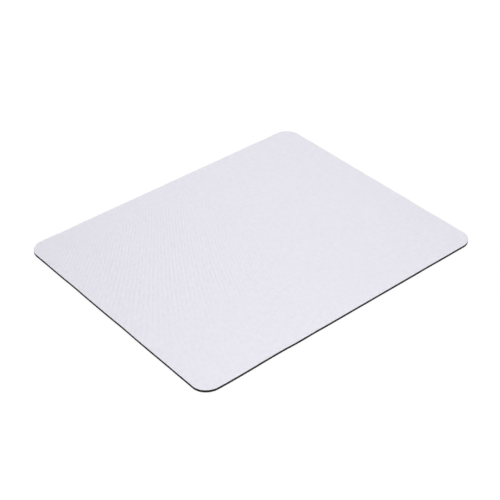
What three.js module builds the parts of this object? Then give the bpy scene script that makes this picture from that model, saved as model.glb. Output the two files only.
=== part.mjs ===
// Blank desk mouse pad: a knitted cloth face, bonded by a melted film to a foam rubber base
// and die-cut through all three layers to a rounded rectangle with a raw edge.
// Millimetres, +Z up. The pad lies flat, with the origin under its middle and X along its long side.
import * as THREE from 'three';

// Driving dimensions of the cut
const padLength = 260; // along X
const padWidth = 210; // along Y
const cornerRadius = 12; // of each corner, seen from above

// The three layers, from the desk up
const rubberThickness = 1.8;
const filmThickness = 0.1;
const clothThickness = 0.3;

// What the cutting die does to the edge
const clothRollWidth = 0.8; // how far in from the cut the cloth starts to bend down
const clothRollDrop = 0.18; // how far the cloth's upper edge is dragged down at the cut
const rubberHeelRound = 0.15; // rounding of the rubber's lower edge

// Fineness of the round stretches
const cornerSteps = 20;
const rollSteps = 5;
const heelSteps = 3;
const leastRadius = 0.05; // keeps a corner round where its radius is smaller than the inset

// Colours and finishes
const clothFinish = { color: 0xe7e6ee, roughness: 0.92, metalness: 0 };
const filmFinish = { color: 0x3a3a3c, roughness: 0.5, metalness: 0 };
const rubberFinish = { color: 0x2c2c2e, roughness: 0.95, metalness: 0 };

// Points of the cut outline, anticlockwise from above, drawn in by an inset all round.
function cutOutline(inset) {
  const quarterTurn = Math.PI / 2;
  const radius = Math.max(cornerRadius - inset, leastRadius);
  const centreX = padLength / 2 - inset - radius;
  const centreY = padWidth / 2 - inset - radius;
  const corners = [[1, 1], [-1, 1], [-1, -1], [1, -1]];
  const outline = new THREE.Path();
  corners.forEach(([sideX, sideY], corner) => {
    const from = corner * quarterTurn;
    outline.absarc(sideX * centreX, sideY * centreY, radius, from, from + quarterTurn);
  });
  return outline.getPoints(cornerSteps / 2);
}

// Quarter of an ellipse as [inset, height] levels, from the upright wall to the flat face:
// the inset grows to width while the height changes by rise.
function roundedEdge(width, rise, steps) {
  return Array.from({ length: steps + 1 }, (_, step) => {
    const angle = (step / steps) * (Math.PI / 2);
    return [width * (1 - Math.cos(angle)), rise * Math.sin(angle)];
  });
}

// Closed slab through levels of the outline, listed upwards as [inset, height].
function slabThrough(levels) {
  const rings = levels.map(([inset, height]) => (
    cutOutline(inset).map((point) => [point.x, point.y, height])
  ));
  const count = rings[0].length;
  const faces = [];
  for (let level = 0; level < rings.length - 1; level += 1) {
    for (let step = 0; step < count; step += 1) {
      const here = level * count + step;
      const next = level * count + ((step + 1) % count);
      faces.push(here, next, next + count);
      faces.push(here, next + count, here + count);
    }
  }
  const top = (rings.length - 1) * count;
  const capPoints = cutOutline(levels[0][0]);
  THREE.ShapeUtils.triangulateShape(capPoints, []).forEach(([a, b, c]) => {
    faces.push(a, c, b);
    faces.push(top + a, top + b, top + c);
  });
  const geometry = new THREE.BufferGeometry();
  geometry.setAttribute('position', new THREE.Float32BufferAttribute(rings.flat(2), 3));
  geometry.setIndex(faces);
  geometry.computeVertexNormals();
  return geometry;
}

// Foam rubber: upright cut wall, with its lower edge rounded where it meets the desk.
function rubberBase() {
  const heel = roundedEdge(rubberHeelRound, -rubberHeelRound, heelSteps)
    .map(([inset, drop]) => [inset, rubberHeelRound + drop])
    .reverse();
  return slabThrough([...heel, [0, rubberThickness]]);
}

// Melted film: as thin as a sheet of card, cut flush with the layers it joins.
function bondFilm() {
  return slabThrough([[0, 0], [0, filmThickness]]);
}

// Knitted cloth: flat on top, rolled down at the cut by the die.
function clothFace() {
  const roll = roundedEdge(clothRollWidth, clothRollDrop, rollSteps)
    .map(([inset, rise]) => [inset, clothThickness - clothRollDrop + rise]);
  return slabThrough([[0, 0], ...roll]);
}

// The pad: each layer lies on the one below it.
const layers = [
  ['rubber_base', rubberBase(), rubberThickness, rubberFinish],
  ['bond_film', bondFilm(), filmThickness, filmFinish],
  ['cloth_face', clothFace(), clothThickness, clothFinish],
];

const mousePad = new THREE.Group();
mousePad.name = 'mouse_pad';
let height = 0;
layers.forEach(([name, geometry, thickness, finish]) => {
  const layer = new THREE.Mesh(geometry, new THREE.MeshStandardMaterial(finish));
  layer.name = name;
  layer.position.z = height;
  mousePad.add(layer);
  height += thickness;
});

export default mousePad;
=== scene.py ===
import math
import bmesh
import bpy
from mathutils import Matrix, Vector, noise


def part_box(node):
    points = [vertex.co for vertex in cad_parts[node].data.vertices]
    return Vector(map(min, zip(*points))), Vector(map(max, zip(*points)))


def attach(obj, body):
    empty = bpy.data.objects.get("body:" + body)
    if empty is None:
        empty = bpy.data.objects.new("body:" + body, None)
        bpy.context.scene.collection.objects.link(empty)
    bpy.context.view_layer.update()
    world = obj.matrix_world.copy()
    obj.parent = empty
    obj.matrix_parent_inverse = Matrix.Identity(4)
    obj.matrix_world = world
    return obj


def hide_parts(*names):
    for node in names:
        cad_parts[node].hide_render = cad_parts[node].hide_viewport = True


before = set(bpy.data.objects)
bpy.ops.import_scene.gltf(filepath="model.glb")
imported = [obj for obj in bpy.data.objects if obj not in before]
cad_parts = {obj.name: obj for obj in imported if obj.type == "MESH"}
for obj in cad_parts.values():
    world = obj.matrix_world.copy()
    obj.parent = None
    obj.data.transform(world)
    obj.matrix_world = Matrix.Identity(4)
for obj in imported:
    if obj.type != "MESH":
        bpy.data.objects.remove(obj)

# Blank mouse pad: knitted cloth on foam rubber, die-cut. Metres, X along the long side, desk at z = 0.
mm = 0.001
fullTurn = math.tau
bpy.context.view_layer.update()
rubberLow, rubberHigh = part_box("rubber_base")
filmLow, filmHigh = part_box("bond_film")
clothLow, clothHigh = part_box("cloth_face")

# The die that cuts all three layers at once
die = dict(
    halfLength=clothHigh.x,
    halfWidth=clothHigh.y,
    cornerRadius=12 * mm,
    cornerFacets=24,    # flats in each corner, before its edge is eased onto the arc
    cornerReach=16 * mm,    # square round a corner's centre that its flats can touch
    snap=0.02 * mm,    # points this near a cut are taken onto it
    wander=0.96 * mm,    # how far the springy foam can let the cut stray inwards
    wanderSize=32 * mm,
    wanderLayer=14.75,    # a layer of the noise that strays alike on all four sides
    wanderReach=10 * mm,    # how far in the layers are drawn along with it
)


# Mesh helpers

def flatNoise(co, size, layer=0):    # -1 to 1, the same through the pad's thickness
    return noise.noise(Vector((co.x / size, co.y / size, layer)))


def fromCut(co):    # how far inside the cut a point lies, and the way straight out of it
    overX = abs(co.x) - (die["halfLength"] - die["cornerRadius"])
    overY = abs(co.y) - (die["halfWidth"] - die["cornerRadius"])
    if overX > 0 and overY > 0:
        far = math.hypot(overX, overY)
        out = Vector((math.copysign(overX, co.x), math.copysign(overY, co.y), 0)) / far
        return die["cornerRadius"] - far, out
    if overX > overY:
        return die["cornerRadius"] - overX, Vector((math.copysign(1, co.x), 0, 0))
    return die["cornerRadius"] - overY, Vector((0, math.copysign(1, co.y), 0))


def movedTo(co, inset, height):    # the same stretch of the outline, at another inset and height
    depth, outward = fromCut(co)
    moved = co + outward * (depth - inset)
    moved.z = height
    return moved


def heading(turns):    # flat direction, counted in whole turns from +X
    return Vector((math.cos(turns * fullTurn), math.sin(turns * fullTurn), 0))


def sliceOff(bm, verts, point, outward):    # drops what lies beyond one flat of the die
    edges = dict.fromkeys(edge for vert in verts for edge in vert.link_edges)
    faces = dict.fromkeys(face for vert in verts for face in vert.link_faces)
    bmesh.ops.bisect_plane(bm, geom=[*verts, *edges, *faces], dist=die["snap"],
                           plane_co=point, plane_no=outward, clear_outer=True)


def dieCut(bm, inset):    # trims a flat mesh to the die's outline, drawn in by an inset
    radius = die["cornerRadius"] - inset
    for side in range(4):
        outward = heading(side / 4)
        half = die["halfWidth"] if side % 2 else die["halfLength"]
        sliceOff(bm, bm.verts[:], outward * (half - inset), outward)
    for corner in range(4):
        towards = heading((corner + 0.5) / 4)
        centre = Vector((math.copysign(die["halfLength"] - die["cornerRadius"], towards.x),
                         math.copysign(die["halfWidth"] - die["cornerRadius"], towards.y), 0))
        for flat in range(1, die["cornerFacets"]):
            outward = heading((corner + flat / die["cornerFacets"]) / 4)
            near = [v for v in bm.verts
                    if max(abs(v.co.x - centre.x), abs(v.co.y - centre.y)) < die["cornerReach"]]
            sliceOff(bm, near, centre + outward * radius, outward)
    for vert in bm.verts:
        if vert.is_boundary:
            vert.co = movedTo(vert.co, inset, vert.co.z)


def openEdge(bm):
    return [edge for edge in bm.edges if edge.is_boundary]


def extrudeRim(bm, rim, place):    # one more row round the open edge, each point put by place
    made = bmesh.ops.extrude_edge_only(bm, edges=rim)["geom"]
    for vert in made:
        if isinstance(vert, bmesh.types.BMVert):
            vert.co = place(vert.co)
    return [edge for edge in made if isinstance(edge, bmesh.types.BMEdge) and edge.is_boundary]


def closeRim(bm, rim):    # the glued face, as a fan of triangles round its middle
    filled = bmesh.ops.edgeloop_fill(bm, edges=rim)["faces"]
    return set(bmesh.ops.poke(bm, faces=filled)["faces"])


def wanderCut(bm):    # a cut through foam isn't dead straight, and what lies near it follows
    for vert in bm.verts:
        depth, outward = fromCut(vert.co)
        near = max(0, 1 - depth / die["wanderReach"])
        stray = flatNoise(vert.co, die["wanderSize"], die["wanderLayer"]) ** 2
        vert.co -= outward * near * stray * die["wander"]


# The map that a finish is baked through: the face that shows fills it, with the walls folded out round it
bakeMap = dict(
    name="OFBake",
    wallStretch=4,    # the walls are low, so they get more of the map
    bondedShare=0.008,    # the glued face is never seen, so it is parked in a corner
)


def layBakeMap(bm, level, wallWidth, bonded):
    laid = bm.loops.layers.uv.new(bakeMap["name"])
    fold = max(abs(vert.co.z - level) for vert in bm.verts) * bakeMap["wallStretch"]
    for face in bm.faces:
        share = bakeMap["bondedShare"] if face in bonded else 1
        for corner in face.loops:
            spot = corner.vert.co
            depth, outward = fromCut(spot)
            if depth < wallWidth:
                spot = spot + outward * abs(spot.z - level) * bakeMap["wallStretch"]
            corner[laid].uv = (share * (0.5 + 0.5 * spot.x / (die["halfLength"] + fold)),
                               share * (0.5 + 0.5 * spot.y / (die["halfWidth"] + fold)))


def finishPiece(name, bm, crease, material, node):
    wanderCut(bm)
    bmesh.ops.recalc_face_normals(bm, faces=bm.faces[:])
    mesh = bpy.data.meshes.new(name)
    bm.to_mesh(mesh)
    bm.free()
    mesh.shade_smooth()
    mesh.set_sharp_from_angle(angle=math.radians(crease))
    mesh.materials.append(material)
    piece = bpy.data.objects.new(name, mesh)
    bpy.context.scene.collection.objects.link(piece)
    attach(piece, "root")
    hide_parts(node)
    print(name, len(mesh.vertices), "points", len(mesh.polygons), "faces")
    return piece


# Shader sockets that can be added and multiplied

class Wire:
    def __init__(self, socket):
        self.socket = socket
        self.tree = socket.id_data

    def node(self, kind, settings, links):    # any node: settings first, then its sockets
        made = self.tree.nodes.new(kind)
        for name, value in settings.items():
            setattr(made, name, value)
        for key, value in links.items():
            if isinstance(value, Wire):
                self.tree.links.new(value.socket, made.inputs[key])
            else:
                made.inputs[key].default_value = value
        return Wire(made.outputs[0])

    def out(self, key):    # another output of the same node
        return Wire(self.socket.node.outputs[key])

    def math(self, operation, *values):
        return self.node("ShaderNodeMath", {"operation": operation}, dict(enumerate(values)))

    def __add__(self, other):
        return self.math("ADD", self, other)

    def __sub__(self, other):
        return self.math("SUBTRACT", self, other)

    def __rsub__(self, other):
        return self.math("SUBTRACT", other, self)

    def __mul__(self, other):
        return self.math("MULTIPLY", self, other)

    def __truediv__(self, other):
        return self.math("DIVIDE", self, other)

    __radd__ = __add__
    __rmul__ = __mul__

    def part(self):    # -0.5 to 0.5 within each whole number
        return self.math("FRACT", self + 0.5) - 0.5

    def size(self):
        return self.math("ABSOLUTE", self)

    def root(self):
        return self.math("SQRT", self)

    def wave(self):    # -1 to 1 and back, once for each whole number
        return self.math("SINE", self * fullTurn)

    def atLeast(self, least):
        return self.math("MAXIMUM", self, least)

    def atMost(self, most):
        return self.math("MINIMUM", self, most)

    def isOver(self, level):    # 1 above the level, 0 below it
        return self.math("GREATER_THAN", self, level)

    def ease(self, start, end):    # 0 before start, 1 after end
        return self.node("ShaderNodeMapRange", {"interpolation_type": "SMOOTHSTEP"},
                         {"Value": self, "From Min": start, "From Max": end})

    def grain(self, perMetre, detail, finer=0.5):    # clouds, so many in a metre along X, Y and Z
        spread = self.node("ShaderNodeMapping", {}, {"Vector": self, "Scale": perMetre})
        return self.node("ShaderNodeTexNoise", {},
                         {"Vector": spread, "Scale": 1, "Detail": detail, "Roughness": finer})

    def bubbles(self, perMetre):    # distance from a bubble's middle; out("Color") differs in each
        return self.node("ShaderNodeTexVoronoi", {}, {"Vector": self, "Scale": perMetre})

    def tint(self, low, high):    # colour from low at 0 to high at 1
        low, high = (end if isinstance(end, Wire) else (*end, 1) for end in (low, high))
        return self.node("ShaderNodeMix", {"data_type": "RGBA"}, {0: self, 6: low, 7: high}).out(2)

    def bump(self, strength, depth):
        return self.node("ShaderNodeBump", {}, {"Strength": strength, "Distance": depth, "Height": self})


def newFinish(name):    # an empty Principled finish, and the piece's own coordinates
    material = bpy.data.materials.new(name)
    material.use_nodes = True
    shader = material.node_tree.nodes["Principled BSDF"]
    place = Wire(shader.outputs[0]).node("ShaderNodeTexCoord", {}, {}).out("Object")
    return material, shader, place


def plug(wire, shader, name):
    wire.tree.links.new(wire.socket, shader.inputs[name])


def shaded(colour, share):    # the same colour, lighter or darker by a share
    return tuple(part * (1 + share) for part in colour)


# Camera at the photograph's viewpoint, found from the pad's four straight sides
viewpoint = dict(
    lookAt=Vector((-4.713, -3.370, 0)) * mm,
    distance=937.97 * mm,
    azimuth=-40.176,    # degrees, like the next two
    elevation=36.910,
    roll=-0.336,
    focalPixels=1259.6,
    pictureWidth=500,
)


def makeCamera():
    rise = math.radians(viewpoint["elevation"])
    back = heading(viewpoint["azimuth"] / 360 - 0.25) * math.cos(rise)
    back.z = math.sin(rise)
    lens = bpy.data.cameras.new("camera")
    lens.lens = viewpoint["focalPixels"] / viewpoint["pictureWidth"] * lens.sensor_width
    camera = bpy.data.objects.new("camera", lens)
    bpy.context.scene.collection.objects.link(camera)
    stand = Matrix.Translation(viewpoint["lookAt"] + back * viewpoint["distance"])
    facing = (-back).to_track_quat("-Z", "Y").to_matrix().to_4x4()
    camera.matrix_world = stand @ facing @ Matrix.Rotation(math.radians(viewpoint["roll"]), 4, "Z")
    bpy.context.scene.camera = camera
    print("camera", round(lens.lens, 2), "mm lens")


# Knitted cloth: columns of stitches run along the pad, and the die rolls its edge down
cloth = dict(
    walePitch=0.96 * mm,    # between columns of stitches, along Y
    coursePitch=0.72 * mm,    # between stitches in a column, along X
    waleSteps=4,    # rows of faces to a column
    lengthSteps=26,    # and how many faces long each row is
    ribHeight=0.03 * mm,
    swell=0.02 * mm,    # slow unevenness of the bonded cloth
    swellSize=45 * mm,
    rollWidth=0.8 * mm,    # how far in from the cut the edge begins to bend
    rollDrop=0.18 * mm,    # and how far down the die has pressed it
    rollSteps=5,
    frayDepth=0.04 * mm,    # unevenness of the cut yarn ends
    fraySize=0.5 * mm,
    lift=0.16 * mm,    # how far the cut edge can spring up off the film
    liftSize=5 * mm,
    liftHalf=0.3,    # noise at which it has sprung up halfway
    tuck=0.25 * mm,    # how far in it is bonded again
    crease=40,    # degrees between faces from which their edge is kept sharp
    colour=(0.819, 0.809, 0.878),
    span=0.25,    # lightest and darkest share of the colour
    legSlant=0.8,    # how far a stitch's leg leans over its half column, in stitches
    legFill=0.75,    # how much of its place a leg leaves open round its ends
    legTop=0.9,    # height at which a leg is at its palest, clear of the painted shade in the gaps
    gapPaintedShade=0.28,    # painted shade: how much darker the gaps between legs are painted, where the legs shade them
    gapMean=0.758,    # keeps the cloth's mean colour whatever the painted shade in the gaps
    strands=(1.6, 1.2),    # filaments wound along a leg: turns across it and along it
    strandHeight=0.08,
    yarnShade=0.03,
    yarnGrain=((1390, 60, 1), 2),
    unevenShade=0.108,    # random lighter and darker patches in the colour, a few stitches across
    unevenGrain=((270, 270, 1), 1, 1.0),
    wander=0.25,    # how far stitches stray from their columns, in columns
    wanderGrain=((160, 160, 1), 1),
    biasShade=0.046,    # faint slanting lines, like those that stitches make with a picture's pixels
    biasMiddle=(-50 * mm, 15 * mm),
    biasStart=0.53,    # where within a line that middle lies
    biasPerMetre=(310, -194),    # lines in a metre from there, along X and along Y
    biasBow=(723, -658),    # and how their number grows with the distance
    biasTwist=312,    # and with both distances together
    biasFadeRight=(-10 * mm, 52 * mm),
    biasFadeLeft=(-220 * mm, -70 * mm),
    biasFadeFront=(-72 * mm, 12 * mm),
    biasFadeBack=(78 * mm, 104 * mm),
    biasLeast=0.25,    # what is left of them past the front and back fades
    biasStray=0.5,    # how far the lines stray, in lines
    biasStrayGrain=((60, 60, 1), 1),
    biasDash=(0.40, 0.60),    # where the lines break off, by a noise
    biasDashGrain=((210, 210, 1), 1),
    bumpStrength=0.8,
    bumpDepth=0.09 * mm,
    fibreGrain=((9000, 16000, 9000), 2),
    fibreHeight=0.2,
    fibreRoughness=0.08,
    roughness=0.9,
    sheen=0.08,
    gloss=0.2,
)


def clothLift(co):    # ribs of the stitch columns, and the slow unevenness under them
    rib = 0.5 * math.cos(fullTurn * co.y / cloth["walePitch"]) - 0.5
    slow = 0.5 * flatNoise(co, cloth["swellSize"]) - 0.5
    return cloth["ribHeight"] * rib + cloth["swell"] * slow


def sprung(co):    # 0 where the cut edge is bonded, towards 1 where it has sprung up
    rise = (flatNoise(co, cloth["liftSize"]) / cloth["liftHalf"]) ** 2
    return rise / (1 + rise)


def rolled(co, bend):    # a step along the roll, by its direction from flat to upright
    fall = cloth["rollDrop"] * (1 - bend.y) * (1 - sprung(co))
    height = clothHigh.z - fall + clothLift(co) * bend.y
    return movedTo(co, cloth["rollWidth"] * (1 - bend.x), height)


def frayed(co, share):    # uneven yarn ends, a share of the way up the cut from its lower edge
    ends = 0.5 + 0.5 * noise.noise(co / cloth["fraySize"])
    low = clothLow.z + cloth["lift"] * sprung(co)
    high = rolled(co, heading(0)).z
    return movedTo(co, cloth["frayDepth"] * ends, low + (high - low) * share)


def makeCloth(material):
    wales = 2 * math.ceil(die["halfWidth"] / cloth["walePitch"])
    bm = bmesh.new()
    rows = wales * cloth["waleSteps"]
    bmesh.ops.create_grid(bm, x_segments=cloth["lengthSteps"], y_segments=rows, size=0.5)
    bmesh.ops.scale(bm, verts=bm.verts[:], vec=(2 * die["halfLength"], wales * cloth["walePitch"], 1))
    dieCut(bm, cloth["rollWidth"])
    for vert in bm.verts:
        vert.co.z = clothHigh.z + clothLift(vert.co)
    rim = openEdge(bm)
    for step in range(1, cloth["rollSteps"] + 1):
        bend = heading((1 - step / cloth["rollSteps"]) / 4)
        rim = extrudeRim(bm, rim, lambda co: rolled(co, bend))
    for share in (0.5, 0):
        rim = extrudeRim(bm, rim, lambda co: frayed(co, share))
    rim = extrudeRim(bm, rim, lambda co: movedTo(co, cloth["tuck"], clothLow.z))
    bonded = closeRim(bm, rim)
    layBakeMap(bm, clothHigh.z, cloth["rollWidth"], bonded)
    piece = finishPiece("knitted_cloth", bm, cloth["crease"], material, "cloth_face")


def biasLines(place, x, y):
    dx = x - cloth["biasMiddle"][0]
    dy = y - cloth["biasMiddle"][1]
    perX, perY = cloth["biasPerMetre"]
    bowX, bowY = cloth["biasBow"]
    stray = (place.grain(*cloth["biasStrayGrain"]) - 0.5) * cloth["biasStray"]
    lines = (dx * (dx * bowX + dy * cloth["biasTwist"] + perX) + dy * (dy * bowY + perY)
             + cloth["biasStart"] + stray).wave()
    dashes = place.grain(*cloth["biasDashGrain"]).ease(*cloth["biasDash"])
    middle = y.ease(*cloth["biasFadeFront"]) - y.ease(*cloth["biasFadeBack"])
    shown = middle * (1 - cloth["biasLeast"]) + cloth["biasLeast"]
    sides = x.ease(*cloth["biasFadeLeft"]) - x.ease(*cloth["biasFadeRight"])
    return lines * dashes * shown * sides


def clothFinish():
    material, shader, place = newFinish("knitted_polyester")
    axes = place.node("ShaderNodeSeparateXYZ", {}, {0: place})
    x, y = axes.out("X"), axes.out("Y")
    stray = (place.grain(*cloth["wanderGrain"]) - 0.5) * cloth["wander"]
    half = (y / cloth["walePitch"] + stray).part().size() * 2    # 0 mid column, 1 between columns
    along = (x / cloth["coursePitch"] + half * cloth["legSlant"] + stray).part() * 2
    across = half * 2 - 1
    spread = (across * across + along * along) * cloth["legFill"]
    leg = (1 - spread).atLeast(0).root()    # rounded like a grain of rice
    # 1 on a leg's top, 0 in the gaps that get painted shade; the strands keep to the legs by it too
    legClearOfGapShade = leg.ease(0, cloth["legTop"])
    yarn = place.grain(*cloth["yarnGrain"]) - 0.5
    uneven = place.grain(*cloth["unevenGrain"]) - 0.5
    # painted shade in the gaps between legs, with the yarn's own random tone and the faint slanting lines
    change = ((legClearOfGapShade - cloth["gapMean"]) * cloth["gapPaintedShade"] + yarn * cloth["yarnShade"]
              + uneven * cloth["unevenShade"] + biasLines(place, x, y) * cloth["biasShade"])
    tone = change / (2 * cloth["span"]) + 0.5
    darkest, palest = (shaded(cloth["colour"], share) for share in (-cloth["span"], cloth["span"]))
    plug(tone.tint(darkest, palest), shader, "Base Color")
    turnsAcross, turnsAlong = cloth["strands"]
    strands = (across * turnsAcross + along * turnsAlong).wave() * legClearOfGapShade * cloth["strandHeight"]
    fibre = place.grain(*cloth["fibreGrain"])
    height = leg + strands + fibre * cloth["fibreHeight"]
    plug(height.bump(cloth["bumpStrength"], cloth["bumpDepth"]), shader, "Normal")
    plug(cloth["roughness"] + fibre * cloth["fibreRoughness"], shader, "Roughness")
    shader.inputs["Specular IOR Level"].default_value = cloth["gloss"]
    shader.inputs["Sheen Weight"].default_value = cloth["sheen"]
    return material


# Melted film: a dark hairline between cloth and rubber
film = dict(
    setBack=0.06 * mm,    # how far in from the cut it ends
    crease=40,
    pale=(0.040, 0.040, 0.043),
    dark=(0.018, 0.018, 0.019),
    grain=((900, 900, 900), 3),
    roughness=0.35,
    roughnessSpan=0.3,
    bumpStrength=0.3,
    bumpDepth=0.02 * mm,
)


def makeFilm(material):
    bm = bmesh.new()
    bmesh.ops.create_grid(bm, x_segments=1, y_segments=1, size=2 * die["halfLength"])
    dieCut(bm, film["setBack"])
    for vert in bm.verts:
        vert.co.z = filmLow.z
    rim = extrudeRim(bm, openEdge(bm), lambda co: movedTo(co, film["setBack"], filmHigh.z))
    closeRim(bm, rim)
    finishPiece("melted_film", bm, film["crease"], material, "bond_film")


def filmFinish():
    material, shader, place = newFinish("melted_film")
    patchy = place.grain(*film["grain"])
    plug(patchy.tint(film["dark"], film["pale"]), shader, "Base Color")
    plug(patchy * film["roughnessSpan"] + film["roughness"], shader, "Roughness")
    plug(patchy.bump(film["bumpStrength"], film["bumpDepth"]), shader, "Normal")
    return material


# Foam rubber base with moulded grip studs underneath
foam = dict(
    studPitch=2.0 * mm,
    studTurn=45,    # degrees from the pad's sides
    grooveHalf=0.30 * mm,    # half of the gap between studs
    grooveDepth=0.15 * mm,
    wallHeights=(0.35 * mm, 0.80 * mm, 1.25 * mm, 1.60 * mm),
    wallHollows=(0.015 * mm, 0.05 * mm, 0.05 * mm, 0.02 * mm),    # drawn in where the foam sprang back
    tear=0.03 * mm,
    tearSize=0.7 * mm,
    wallWidth=0.1 * mm,    # the hollows and tears stay within it
    crease=30,
    wallColour=(0.024, 0.024, 0.0254),
    # painted shade inside the bubbles that the cut opened
    poreShadeColour=(0.009, 0.009, 0.009),
    skinColour=(0.024, 0.024, 0.025),
    bloomColour=(0.055, 0.055, 0.056),    # pale dust and wax bloom on the moulded skin
    bloomGrain=((60, 60, 60), 4),
    bloomFrom=(0.45, 0.8),
    bloomMost=0.35,
    bubbles=((2600, 0.80), (6500, 0.55), (15000, 0.40)),    # how many in a metre, and the share left whole
    bubbleEdge=(0.15, 0.62),
    skinned=0.75,    # of the bubbles that the cut opens, the share that the moulded skin closes
    cellDepth=0.09 * mm,
    bumpStrength=1.0,
    fineGrain=((9000, 9000, 9000), 3),
    fineHeight=0.15,
    fineRoughness=0.15,
    roughness=0.82,
    gloss=0.16,
)


def torn(co, hollow, height):
    rough = 0.5 + 0.5 * noise.noise(Vector((co.x, co.y, height)) / foam["tearSize"])
    return movedTo(co, hollow + foam["tear"] * rough, height)


def makeFoam(material):
    across = math.sqrt(2) * (die["halfLength"] + die["halfWidth"])
    studs = 2 * math.ceil(across / foam["studPitch"] / 2)
    bm = bmesh.new()
    bmesh.ops.create_grid(bm, x_segments=studs, y_segments=studs, size=studs * foam["studPitch"] / 2)
    bmesh.ops.rotate(bm, verts=bm.verts[:], matrix=Matrix.Rotation(math.radians(foam["studTurn"]), 3, "Z"))
    beyond = [face for face in bm.faces if fromCut(face.calc_center_median())[0] < -foam["studPitch"]]
    bmesh.ops.delete(bm, geom=beyond, context="FACES")
    bmesh.ops.translate(bm, verts=bm.verts[:], vec=(0, 0, foam["grooveDepth"]))
    bmesh.ops.inset_individual(bm, faces=bm.faces[:], thickness=foam["grooveHalf"],
                               depth=-foam["grooveDepth"])
    dieCut(bm, 0)
    cutFace = bm.faces.layers.float.new("cutFace")    # 1 on the cut wall, 0 on the moulded skin
    moulded = set(bm.faces)
    rim = openEdge(bm)
    for height, hollow in zip(foam["wallHeights"], foam["wallHollows"]):
        rim = extrudeRim(bm, rim, lambda co: torn(co, hollow, height))
    rim = extrudeRim(bm, rim, lambda co: movedTo(co, 0, rubberHigh.z))
    bonded = closeRim(bm, rim)
    layBakeMap(bm, rubberLow.z, foam["wallWidth"], bonded)
    for face in bm.faces:
        face[cutFace] = 0 if face in moulded else 1
    piece = finishPiece("foam_base", bm, foam["crease"], material, "rubber_base")


def foamFinish():
    material, shader, place = newFinish("foam_rubber")
    cut = place.node("ShaderNodeAttribute", {"attribute_name": "cutFace"}, {}).out("Fac")
    skinned = (1 - cut) * foam["skinned"]
    largest = foam["bubbles"][0][0]
    # where the opened bubbles get painted shade; depth sinks them in the bump
    poreShadeMask = 0
    depth = 0
    for perMetre, whole in foam["bubbles"]:
        bubble = place.bubbles(perMetre)
        chance = place.node("ShaderNodeSeparateColor", {}, {0: bubble.out("Color")})
        opened = chance.isOver(skinned * (1 - whole) + whole)
        hole = (1 - bubble.ease(*foam["bubbleEdge"])) * opened
        poreShadeMask = hole + poreShadeMask
        depth = hole * (largest / perMetre) + depth
    bloom = place.grain(*foam["bloomGrain"]).ease(*foam["bloomFrom"]) * foam["bloomMost"]
    skin = bloom.tint(foam["skinColour"], foam["bloomColour"])
    solid = cut.tint(skin, foam["wallColour"])
    # painted shade in the opened bubbles, over the rubber's own colour
    plug(poreShadeMask.atMost(1).tint(solid, foam["poreShadeColour"]), shader, "Base Color")
    fine = place.grain(*foam["fineGrain"])
    height = fine * foam["fineHeight"] - depth
    plug(height.bump(foam["bumpStrength"], foam["cellDepth"]), shader, "Normal")
    plug(fine * foam["fineRoughness"] + foam["roughness"], shader, "Roughness")
    shader.inputs["Specular IOR Level"].default_value = foam["gloss"]
    return material


# Pale floor and soft studio light
studio = dict(
    floorSize=8,
    floorGap=0.02 * mm,
    paper=(0.8, 0.8, 0.8),
    seenPaper=(0.12, 0.12, 0.12),    # what the camera sees of the lit paper: enough for a faint shadow
    glow=0.892,    # seen by the camera alone, and takes the paper to white
    farGlow=0.07,    # more of it where the lamps don't reach
    farFrom=(0.14, 0.30),
    skyLight=0.407,
    lampSize=0.4,
    lamps=dict(    # where each one hangs, and its watts
        frontKey=((-0.204, -0.401, 0.5), 1.935),
        backFill=((0.149, 0.162, 0.5), 1.20),
    ),
)


def seenDirectly(start):    # 1 for what the camera sees, itself or in metal or glass
    path = start.node("ShaderNodeLightPath", {}, {})
    bounced = path.out("Is Glossy Ray").atLeast(path.out("Is Transmission Ray"))
    return path.out("Is Camera Ray").atLeast(bounced)


def makeSky():
    world = bpy.data.worlds.new("studio")
    world.use_nodes = True
    sky = world.node_tree.nodes["Background"]
    sky.inputs["Color"].default_value = (1, 1, 1, 1)
    seen = seenDirectly(Wire(sky.outputs[0]))
    plug(seen * (1 - studio["skyLight"]) + studio["skyLight"], sky, "Strength")
    bpy.context.scene.world = world


def makeFloor():
    bm = bmesh.new()
    bmesh.ops.create_grid(bm, x_segments=1, y_segments=1, size=studio["floorSize"] / 2)
    bmesh.ops.translate(bm, verts=bm.verts[:], vec=(0, 0, -studio["floorGap"]))
    mesh = bpy.data.meshes.new("floor")
    bm.to_mesh(mesh)
    bm.free()
    material, shader, place = newFinish("floor_paper")
    seen = seenDirectly(place)
    away = place.node("ShaderNodeVectorMath", {"operation": "LENGTH"}, {0: place}).out("Value")
    glow = away.ease(*studio["farFrom"]) * studio["farGlow"] + studio["glow"]
    plug(seen.tint(studio["paper"], studio["seenPaper"]), shader, "Base Color")
    plug(seen * glow, shader, "Emission Color")
    shader.inputs["Emission Strength"].default_value = 1
    shader.inputs["Roughness"].default_value = 1
    shader.inputs["Specular IOR Level"].default_value = 0
    mesh.materials.append(material)
    floor = bpy.data.objects.new("floor", mesh)
    bpy.context.scene.collection.objects.link(floor)


def makeLamps():
    for name, (where, power) in studio["lamps"].items():
        lamp = bpy.data.lights.new(name, "AREA")
        lamp.size = studio["lampSize"]
        lamp.energy = power
        holder = bpy.data.objects.new(name, lamp)
        holder.location = where
        holder.rotation_euler = (-Vector(where)).to_track_quat("-Z", "Y").to_euler()
        bpy.context.scene.collection.objects.link(holder)
    print("studio", len(studio["lamps"]), "lamps")


bpy.context.scene.view_settings.view_transform = "Standard"
makeCamera()
makeSky()
makeFloor()
makeLamps()
makeCloth(clothFinish())
makeFilm(filmFinish())
makeFoam(foamFinish())
